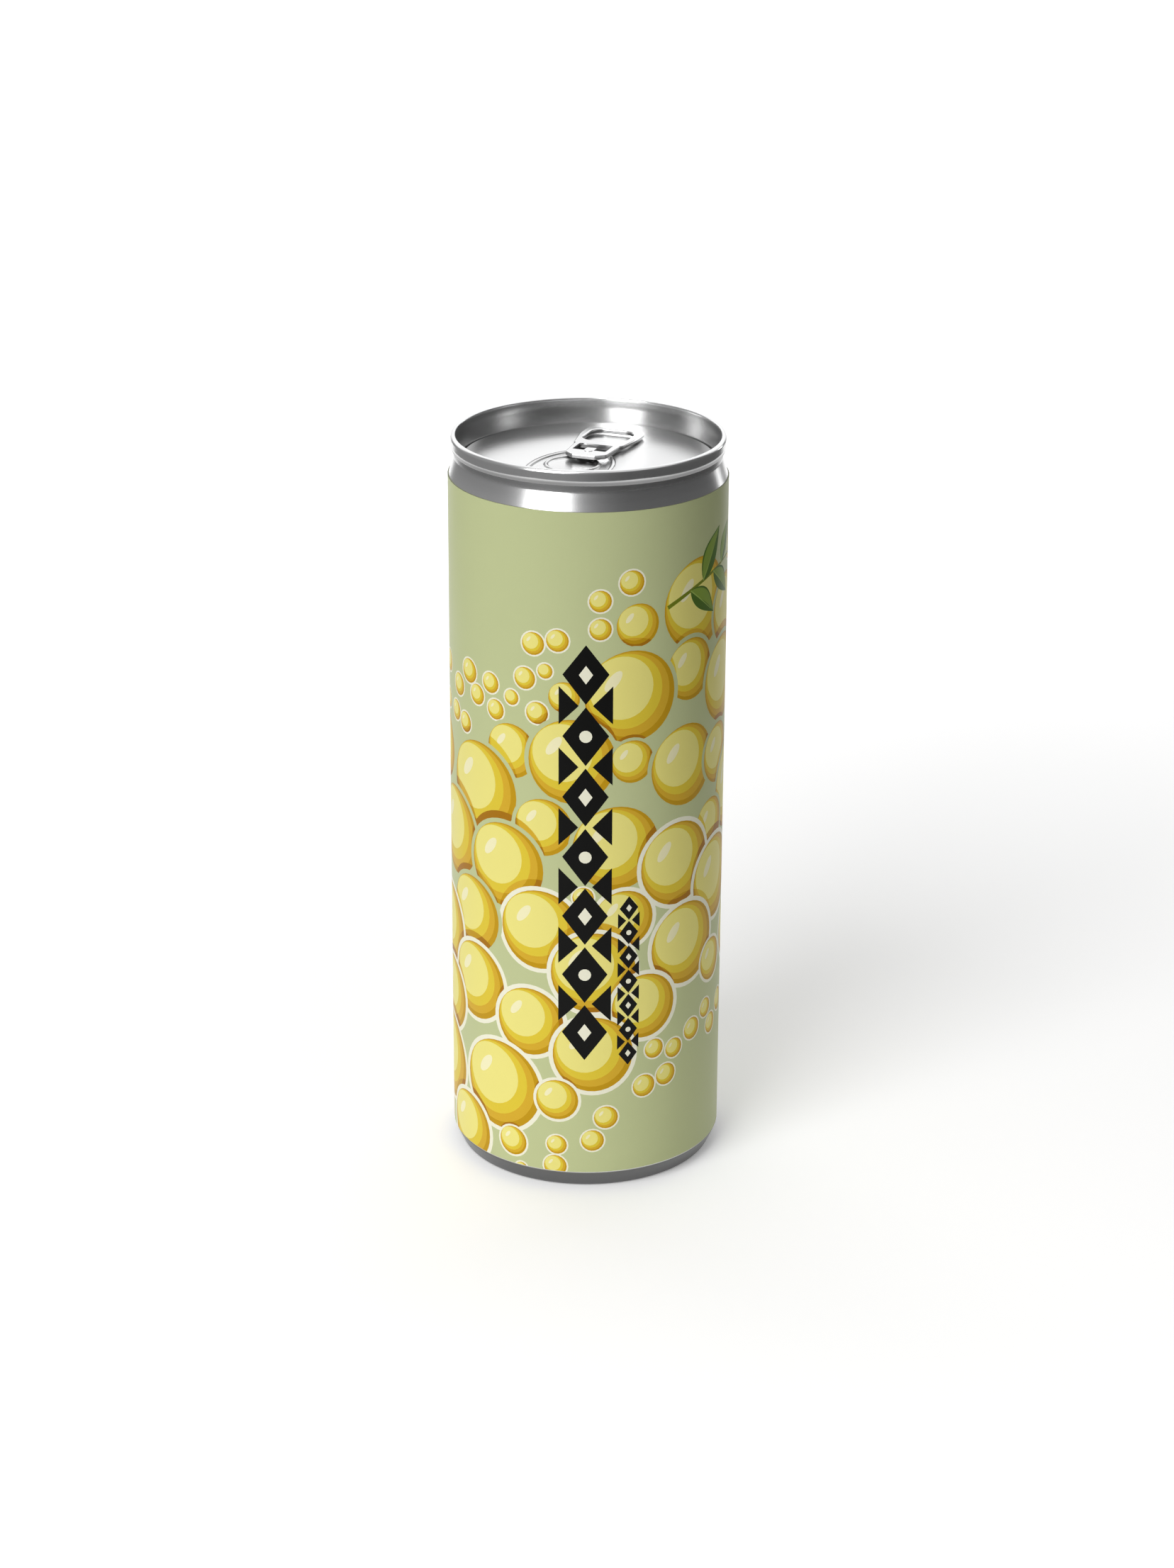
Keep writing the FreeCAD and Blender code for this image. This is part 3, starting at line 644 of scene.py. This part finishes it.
def build_end():
    """The seam, its inner wall, the countersink, the panel and the rivet, stamped from one sheet."""
    panel_flat = PANEL_EDGE - PANEL_ROUND - HAIR
    section = rounded_profile([
        (SEAM - SEAM_END_IN, CREST - SEAM_END, 0),
        (SEAM - SEAM_FOOT_IN, CREST - SEAM_FOOT, SEAM_FOOT_ROUND),
        (SEAM, CREST - SEAM_BELLY, SEAM_BELLY_ROUND),
        (SEAM, CREST, LIP_ROUND),
        (SEAM - LIP_WIDTH, CREST, LIP_INNER_ROUND),
        (SEAM - LIP_WIDTH, CREST - CHUCK_WALL_TOP, CHUCK_WALL_ROUND),
        (GROOVE_OUTER, GROOVE_FLOOR, GROOVE_ROUND),
        (PANEL_EDGE, GROOVE_FLOOR, GROOVE_ROUND),
        (PANEL_EDGE, PANEL, PANEL_ROUND),
        (panel_flat, PANEL, 0),
    ])
    rivet = rounded_profile([
        (RIVET_NECK, PANEL, 0),
        (RIVET_NECK, TAB_TOP, 0),
        (RIVET_HEAD, TAB_TOP, 0),
        (RIVET_HEAD, TAB_TOP + RIVET_RISE, RIVET_ROUND),
        (0.0, TAB_TOP + RIVET_RISE, 0),
    ])
    wall, lip, panel, shaded_line = range(4)

    def slot_of(place):
        if place.x > SEAM - ROLLED_WIDTH:
            return lip
        return panel if place.x < PANEL_EDGE + HAIR and place.y > PANEL_METAL_FOOT else wall

    shell = Shell()
    shell.lathe(section, slot_of)
    add_panel(shell, panel_flat, panel, shaded_line)
    shell.lathe(rivet, lambda place: panel, 40)
    end = shell.make("stamped_end", [
        # painted shade on the inner wall below the crest
        aluminium("end wall metal", ROLLED, tone=0.98, polish=0.17, streaks=0.03, relief=0.02, smears=0.25,
                  zone=wall_painted_shade, painted_shade_tone=0.52, zone_polish=0.06),
        # painted shade on the seam's lower face
        aluminium("seamed lip metal", ROLLED, tone=0.98, polish=0.16, streaks=0.03, relief=0.02, smears=0.25,
                  zone=lip_painted_shade, painted_shade_tone=0.20, zone_polish=0.08),
        # painted shade on the panel's outer part, towards the chuck wall
        aluminium("end panel metal", ROLLED, tone=0.98, polish=0.23, streaks=0.03, relief=0.02, smears=0.2,
                  zone=rim_painted_shade, painted_shade_tone=0.86, zone_polish=0.0),
        # painted shade: the pressed lines are toned darker
        aluminium("painted shade line metal", ROLLED, tone=0.46, polish=0.26, streaks=0.03, relief=0.02, smears=0.2),
    ])
    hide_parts("can_end")


# ---------------------------------------------------------------- the print's shapes
# On the label laid flat.

def turned(points, middle, lean):
    """Points round the origin, turned by lean degrees and set down at the middle."""
    c, s = math.cos(math.radians(lean)), math.sin(math.radians(lean))
    return [(middle[0] + x * c - y * s, middle[1] + x * s + y * c) for x, y in points]


def oval(middle, half_long, half_wide, lean=0.0):
    count = max(14, min(44, int(9 * math.sqrt(half_long + half_wide))))
    return turned([(half_long * c, half_wide * s) for c, s in circle((0, 0), 1, count)], middle, lean)


def disc(middle, radius):
    return oval(middle, radius, radius)


def lozenge(middle, width, height):
    return turned([(width / 2, 0), (0, height / 2), (-width / 2, 0), (0, -height / 2)], middle, 0)


def blade(base, length, width, lean, bend):
    """A plain pointed leaf from its base, bulging to both sides of a slightly bent midrib."""
    count = 14
    upper, lower = [], []
    for i in range(count + 1):
        t = i / count
        reach = width / 2 * math.sin(math.pi * t ** 0.8)
        rib = bend * math.sin(math.pi * t)
        upper.append((length * t, rib + reach))
        lower.append((length * t, rib - reach))
    return turned(upper + lower[-2:0:-1], base, lean)


def ribbon(points, start_width, end_width):
    """A tapering line through the points."""
    left, right = [], []
    for i, (x, y) in enumerate(points):
        before = points[max(i - 1, 0)]
        after = points[min(i + 1, len(points) - 1)]
        dx, dy = after[0] - before[0], after[1] - before[1]
        size = math.hypot(dx, dy)
        half = (start_width + (end_width - start_width) * i / (len(points) - 1)) / 2
        left.append((x - dy / size * half, y + dx / size * half))
        right.append((x + dy / size * half, y - dx / size * half))
    return left + right[::-1]


# a bubble's tones from its dark side inwards: how far each moves to the light, its size and its ink
BUBBLE_TONES = (
    (0.0, 0.0, 1.0, "dark_gold"),
    (0.055, 0.05, 0.925, "gold"),
    (0.13, 0.12, 0.82, "mid_yellow"),
    (0.215, 0.2, 0.69, "light_yellow"),
)
# the bubbles' sizes, how often each is tried, and how near it comes to the ones already there
BUBBLE_SIZES = (
    (9.4, 500, 0.80), (8.0, 900, 0.80), (6.4, 1200, 0.82), (5.0, 1500, 0.86),
    (3.6, 1800, 0.94), (2.4, 1600, 1.06), (1.6, 900, 1.2), (1.1, 500, 1.4),
)
SMALL_BUBBLE = 3


def bubble(shapes, middle, radius, rim):
    """One round bubble: rim, dark side, inner tones and a shine."""
    x, y = middle
    rim_width = max(0.35, min(0.95, radius * 0.14))
    shapes.append((disc(middle, radius + rim_width), rim))
    for left, up, size, ink in BUBBLE_TONES:
        shapes.append((disc((x - radius * left, y + radius * up), radius * size), ink))
    if radius > 1.8:
        shine = (x - radius * 0.40, y + radius * 0.36)
        shapes.append((oval(shine, radius * 0.27, radius * 0.115, 52), "pale_shine"))


def place_bubbles():
    """Bubbles climb round the can in a slanting drift, large in its middle and small at its edges."""
    draw = random.Random(29)
    half_length, lowest, highest, top = 84, 2, 142, 137
    middle, slope, wave, wave_length = 70, 0.48, 7, 14
    placed = []
    for radius, tries, closeness in BUBBLE_SIZES:
        for _ in range(tries):
            size = radius * draw.uniform(0.9, 1.08)
            along = draw.uniform(-half_length + size, half_length - size)
            up = draw.uniform(lowest, highest)
            drift = middle + slope * along + wave * math.sin(along / wave_length)
            room = 50 - 0.9 * size if size > SMALL_BUBBLE else 62
            if abs(up - drift) > room or up > top - size:
                continue
            if all(math.hypot(along - x, up - y) > closeness * (size + r) for x, y, r in placed):
                placed.append((along, up, size))
    return sorted(placed, key=lambda spot: -spot[1])


def ornament(shapes, middle, low, high, width, motifs):
    """A black upright band of lozenges with wedges between them."""
    step = (high - low) / motifs
    for i in range(motifs):
        centre = low + step * (i + 0.5)
        shapes.append((lozenge((middle, centre), width * 0.86, step * 0.96), "black"))
        if i % 2:
            shapes.append((disc((middle, centre), width * 0.12), "cream"))
        else:
            shapes.append((lozenge((middle, centre), width * 0.26, step * 0.30), "cream"))
        if i < motifs - 1:
            gap = centre + step / 2
            for side in (-1, 1):
                edge, point = middle + side * width / 2, middle + side * width * 0.13
                shapes.append(([(edge, gap - step * 0.31), (edge, gap + step * 0.31), (point, gap)], "black"))


def sprig(shapes, base, lean, side):
    """A short stem with plain pointed leaves on both sides, to the right for side 1 and the left for -1."""
    length, joints = 24, 12
    stem = []
    for i in range(joints + 1):
        t = i / joints
        rise = length * t * math.tan(math.radians(lean)) - 5 * t * t
        stem.append((base[0] + side * length * t, base[1] + rise))
    shapes.append((ribbon(stem, 0.9, 0.35), "stem_olive"))
    leaves = ((3, 10.5, 4.6), (5, 12.0, 5.2), (7, 11.0, 4.8), (9, 9.5, 4.2), (joints, 10.0, 4.2))
    for i, (joint, reach, width) in enumerate(leaves):
        swing = 0 if joint == joints else (48 if i % 2 else -46)
        heading = (lean - 16 + swing) if side > 0 else (180 - lean + 16 - swing)
        foot = stem[joint]
        shapes.append((blade(foot, reach, width, heading, 0.5), "leaf_dark"))
        shapes.append((blade(foot, reach * 0.97, width * 0.5, heading, 1.3), "leaf_light"))
        c, s = math.cos(math.radians(heading)), math.sin(math.radians(heading))
        rib = [(foot[0] + reach * t * c, foot[1] + reach * t * s) for t in (0.0, 0.3, 0.6, 0.86)]
        shapes.append((ribbon(rib, 0.28, 0.1), "leaf_bright"))


def print_shapes():
    """Outlines and inks from the lowest layer to the topmost."""
    shapes = []
    placed = place_bubbles()
    for index, (x, y, r) in enumerate(placed):
        pale_below = 66 + 0.3 * x
        bubble(shapes, (x, y), r, "cream" if y < pale_below or r < SMALL_BUBBLE else "sage")
        for nx, ny, nr in placed[index + 1:]:
            touching = math.hypot(nx - x, ny - y) < (r + nr) * 1.02
            if touching and min(r, nr) > SMALL_BUBBLE:
                shapes.append((disc((nx - nr * 0.02, ny + nr * 0.2), nr * 1.08), "shade"))
    sprig(shapes, base=(17, 128), lean=24, side=1)
    sprig(shapes, base=(-58, 130), lean=20, side=-1)
    ornament(shapes, middle=-0.3, low=30, high=122, width=11, motifs=7)
    ornament(shapes, middle=8.9, low=28.5, high=67, width=4.7, motifs=7)
    return shapes


# ---------------------------------------------------------------- the label

def inside(outline, points):
    """Which of the points lie inside a closed outline."""
    xs, ys = np.array(outline).T
    px, py = points.T
    hit = np.zeros(len(points), dtype=bool)
    for i in range(len(xs)):
        x1, y1, x2, y2 = xs[i - 1], ys[i - 1], xs[i], ys[i]
        if y1 == y2:
            continue
        crosses = (y1 > py) != (y2 > py)
        hit ^= crosses & (px < (x2 - x1) * (py - y1) / (y2 - y1) + x1)
    return hit


def clipped(outline):
    """The outline cut off at the label's upper and lower edges."""
    def cut(points, keep, level):
        out = []
        for i, here in enumerate(points):
            before = points[i - 1]
            if keep(here) != keep(before):
                t = (level - before[1]) / (here[1] - before[1])
                out.append((before[0] + (here[0] - before[0]) * t, level))
            if keep(here):
                out.append(here)
        return out

    points = cut(outline, lambda p: p[1] >= LABEL_FOOT, LABEL_FOOT)
    return cut(points, lambda p: p[1] <= LABEL_TOP, LABEL_TOP) if points else points


def cut_sheet(shapes):
    """The label laid flat, in triangles that follow the shapes: its points, faces and faces' middles."""
    points, edges = [], []
    columns = 72
    for i in range(columns + 1):
        along = -LABEL_REACH + 2 * LABEL_REACH * i / columns
        start = len(points)
        points.extend((Vector((along, LABEL_FOOT)), Vector((along, LABEL_TOP))))
        edges.append((start, start + 1))
    add_loop(points, edges, [(-LABEL_REACH, LABEL_FOOT), (LABEL_REACH, LABEL_FOOT),
                             (LABEL_REACH, LABEL_TOP), (-LABEL_REACH, LABEL_TOP)])
    for outline, _ in shapes:
        add_loop(points, edges, outline)
    flat, faces = triangulated(points, edges)
    flat, faces = np.array([tuple(v) for v in flat]), np.array(faces)
    middles = flat[faces].mean(axis=1)
    level = (middles[:, 1] > LABEL_FOOT) & (middles[:, 1] < LABEL_TOP)
    keep = level & (np.abs(middles[:, 0]) < LABEL_REACH)
    faces, middles = faces[keep], middles[keep]

    corners = flat[faces]
    turn = ((corners[:, 1, 0] - corners[:, 0, 0]) * (corners[:, 2, 1] - corners[:, 0, 1])
            - (corners[:, 2, 0] - corners[:, 0, 0]) * (corners[:, 1, 1] - corners[:, 0, 1]))
    faces[turn < 0] = faces[turn < 0][:, ::-1]
    return flat, faces, middles


def inked(middles, shapes):
    """The ink slot of each face: a shape covers what is below it, and a shade darkens it."""
    slots = np.full(len(middles), INK_SLOT["sage"])
    darker = np.arange(len(INKS))
    for name, shade in SHADED.items():
        darker[INK_SLOT[name]] = INK_SLOT[shade]
    for outline, ink in shapes:
        box = np.array(outline)
        near = (middles >= box.min(axis=0)).all(axis=1) & (middles <= box.max(axis=0)).all(axis=1)
        near = np.where(near)[0]
        if not len(near):
            continue
        hit = near[inside(outline, middles[near])]
        slots[hit] = darker[slots[hit]] if ink == "shade" else INK_SLOT[ink]
    return slots


def outward(angle):
    """The way out from the axis at an angle round the can from the middle of the front."""
    return math.sin(angle), -math.cos(angle)


def add_print(shell, flat, faces, slots):
    """The flat sheet rolled round the can."""
    angles = flat[:, 0] / LABEL_RADIUS
    ways = np.stack([np.sin(angles), -np.cos(angles), 0 * angles], axis=1)
    places = np.stack([LABEL_RADIUS * ways[:, 0], LABEL_RADIUS * ways[:, 1], flat[:, 1]], axis=1)
    faces = [[int(i) for i in face] for face in faces]
    shell.add([tuple(p) for p in places], faces, [[tuple(ways[i]) for i in face] for face in faces],
              [int(slot) for slot in slots])


def add_cut_edges(shell, flat):
    """The film's cut edges, above and below, inked dark as painted shade."""
    near = 1e-4
    for level, up in ((LABEL_FOOT, -1), (LABEL_TOP, 1)):
        on_edge = (float(x) for x, y in flat if abs(y - level) < near and abs(x) <= LABEL_REACH + near)
        rim = sorted(set(on_edge), reverse=up < 0)
        for first, second in zip(rim, rim[1:]):
            four = []
            for along, r in ((first, LABEL_RADIUS), (second, LABEL_RADIUS),
                             (second, LABEL_BACKING), (first, LABEL_BACKING)):
                x, y = outward(along / LABEL_RADIUS)
                four.append((r * x, r * y, level))
            shell.add_quad(four, [(0, 0, up)] * 4, INK_SLOT["shaded_film_edge"])


def add_lap(shell):
    """The glued lap at the back: a second layer of film with its own four edges."""
    steps = 6
    start = math.pi - LAP_HALF_ANGLE
    ways = [outward(start + 2 * LAP_HALF_ANGLE * i / steps) for i in range(steps + 1)]
    for one, two in zip(ways, ways[1:]):
        corners = ((one, LABEL_FOOT), (two, LABEL_FOOT), (two, LABEL_TOP), (one, LABEL_TOP))
        face = [(LAP_RADIUS * w[0], LAP_RADIUS * w[1], z) for w, z in corners]
        shell.add_quad(face, [(w[0], w[1], 0) for w, _ in corners], INK_SLOT["sage"])
        rim = ((one, LAP_RADIUS), (two, LAP_RADIUS), (two, LABEL_BACKING), (one, LABEL_BACKING))
        for z, up in ((LABEL_TOP, 1), (LABEL_FOOT, -1)):
            four = [(r * w[0], r * w[1], z) for w, r in rim[::up]]
            # the lap's edges in the dark ink of painted shade
            shell.add_quad(four, [(0, 0, up)] * 4, INK_SLOT["shaded_film_edge"])
    ends = ((LAP_RADIUS, LABEL_FOOT), (LAP_RADIUS, LABEL_TOP),
            (LABEL_RADIUS, LABEL_TOP), (LABEL_RADIUS, LABEL_FOOT))
    for w, side in ((ways[0], -1), (ways[-1], 1)):
        face = [(r * w[0], r * w[1], z) for r, z in ends[::-side]]
        shell.add_quad(face, [(-w[1] * side, w[0] * side, 0)] * 4, INK_SLOT["shaded_film_edge"])


def build_label():
    """The printed film: one sheet in areas of ink, rolled round the can and lapped at the back."""
    shapes = [(clipped(outline), ink) for outline, ink in print_shapes()]
    shapes = [(outline, ink) for outline, ink in shapes if len(outline) > 2]
    flat, faces, middles = cut_sheet(shapes)
    shell = Shell()
    add_print(shell, flat, faces, inked(middles, shapes))
    add_cut_edges(shell, flat)
    add_lap(shell)
    label = shell.make("printed_label", [ink_material(name) for name in INKS])
    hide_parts("label")


# ---------------------------------------------------------------- floor, light and camera
# In metres.

FLOOR_COLOUR = (0.90, 0.90, 0.90, 1)
FLOOR_BACK, FLOOR_BACK_HALF = 2.6, 0.64
FLOOR_FRONT, FLOOR_FRONT_HALF = -0.22, 0.22
LIFT_START, LIFT_END, LIFT_NEAR, LIFT_FAR = 0.02, 0.85, 0.185, 0.84
BACKDROP, CEILING, BACK_WINDOW = 0.9, 0.6, 1.03
ROOM_LEFT, ROOM_RIGHT = 0.255, 0.10
LAMP_TARGET = Vector((0, 0, 0.09))


def seen_rays(bench):
    """1 for rays that see the background itself: from the camera, in a reflection or through glass."""
    rays = bench.add("ShaderNodeLightPath")
    either = bench.math("MAXIMUM", rays.outputs["Is Camera Ray"], rays.outputs["Is Glossy Ray"])
    return bench.math("MAXIMUM", either, rays.outputs["Is Transmission Ray"])


def floor_material():
    """Matt and pale, and lifted to white where it runs back into the backdrop."""
    material = bpy.data.materials.new("pale floor")
    material.use_nodes = True
    material.node_tree.nodes.clear()
    b = Bench(material.node_tree)
    matt = b.add("ShaderNodeBsdfDiffuse")
    matt.inputs["Color"].default_value = FLOOR_COLOUR
    lift = b.add("ShaderNodeEmission")
    far = b.span(b.place()["Y"], LIFT_START, LIFT_END, LIFT_NEAR, LIFT_FAR, smooth=True)
    b.join(b.math("MULTIPLY", seen_rays(b), far), lift.inputs["Strength"])
    both = b.add("ShaderNodeAddShader")
    b.join(matt.outputs[0], both.inputs[0])
    b.join(lift.outputs[0], both.inputs[1])
    out = b.add("ShaderNodeOutputMaterial")
    b.join(both.outputs[0], out.inputs["Surface"])
    return material


def build_floor():
    corners = [(-FLOOR_FRONT_HALF, FLOOR_FRONT, 0), (FLOOR_FRONT_HALF, FLOOR_FRONT, 0),
               (FLOOR_BACK_HALF, FLOOR_BACK, 0), (-FLOOR_BACK_HALF, FLOOR_BACK, 0)]
    mesh = bpy.data.meshes.new("floor")
    mesh.from_pydata(corners, [], [(0, 1, 2, 3)])
    mesh.materials.append(floor_material())
    floor = bpy.data.objects.new("floor", mesh)
    bpy.context.collection.objects.link(floor)


def build_world():
    """A pale backdrop behind the can, a dim room in front of it and a pale ceiling.

    The camera sees the whole room as the plain backdrop, from whichever side it looks.
    """
    world = bpy.data.worlds.new("studio")
    bpy.context.scene.world = world
    world.use_nodes = True
    world.node_tree.nodes.clear()
    b = Bench(world.node_tree)
    place = b.add("ShaderNodeTexCoord")
    parts = b.add("ShaderNodeSeparateXYZ")
    b.join(place.outputs["Generated"], parts.inputs[0])
    x, y, z = parts.outputs
    level = b.math("MAXIMUM", b.length(x, y), 0.01)
    away = b.math("DIVIDE", y, level)
    behind = b.span(away, 0.84, 0.97, smooth=True)
    sides = b.span(b.math("DIVIDE", x, level), -0.45, 0.6, ROOM_LEFT, ROOM_RIGHT, smooth=True)
    low = b.math("MULTIPLY_ADD", behind, b.math("SUBTRACT", BACKDROP, sides), sides)
    above = b.math("MULTIPLY", b.span(z, 0.5, 0.85, smooth=True), CEILING)
    upper = b.math("MULTIPLY", b.span(away, 0.4, 0.85, smooth=True), b.span(z, 0.10, 0.22, smooth=True))
    high = b.math("MAXIMUM", above, b.math("MULTIPLY", upper, BACK_WINDOW))
    rays = b.add("ShaderNodeLightPath")
    shown = b.math("MAXIMUM", b.math("MAXIMUM", low, high), rays.outputs["Is Camera Ray"])
    back = b.add("ShaderNodeBackground")
    back.inputs["Color"].default_value = (1, 1, 1, 1)
    b.join(shown, back.inputs["Strength"])
    out = b.add("ShaderNodeOutputWorld")
    b.join(back.outputs[0], out.inputs["Surface"])


def softbox(name, azimuth, elevation, distance, width, height, energy):
    """A rectangular lamp aimed at the can; azimuth 0 is at the front and positive to the right."""
    lamp = bpy.data.lights.new(name, "AREA")
    lamp.shape = "RECTANGLE"
    lamp.size, lamp.size_y = width, height
    lamp.energy = energy
    thing = bpy.data.objects.new(name, lamp)
    bpy.context.collection.objects.link(thing)
    a, e = math.radians(azimuth), math.radians(elevation)
    way = Vector((math.sin(a) * math.cos(e), -math.cos(a) * math.cos(e), math.sin(e)))
    facing = (-way).to_track_quat("-Z", "Y").to_matrix().to_4x4()
    thing.matrix_world = Matrix.Translation(LAMP_TARGET + distance * way) @ facing


def build_camera():
    data = bpy.data.cameras.new("camera")
    data.sensor_width = 36
    data.lens = 79.56
    data.clip_start = 0.01
    camera = bpy.data.objects.new("camera", data)
    bpy.context.collection.objects.link(camera)
    tilt = Matrix.Rotation(math.radians(68.591), 4, "X") @ Matrix.Rotation(math.radians(0.2545), 4, "Z")
    camera.matrix_world = Matrix.Translation((0, -0.68058, 0.3477)) @ tilt
    bpy.context.scene.camera = camera


# ---------------------------------------------------------------- the can and its studio

finish_pull_tab()
build_body()
build_end()
build_label()

build_floor()
build_world()
softbox("key softbox", azimuth=-34, elevation=34, distance=1.2, width=0.66, height=1.25, energy=11.6)
softbox("rim lamp", azimuth=136, elevation=3, distance=1.2, width=0.16, height=0.16, energy=0.3)
build_camera()

bpy.context.scene.view_settings.view_transform = "Standard"
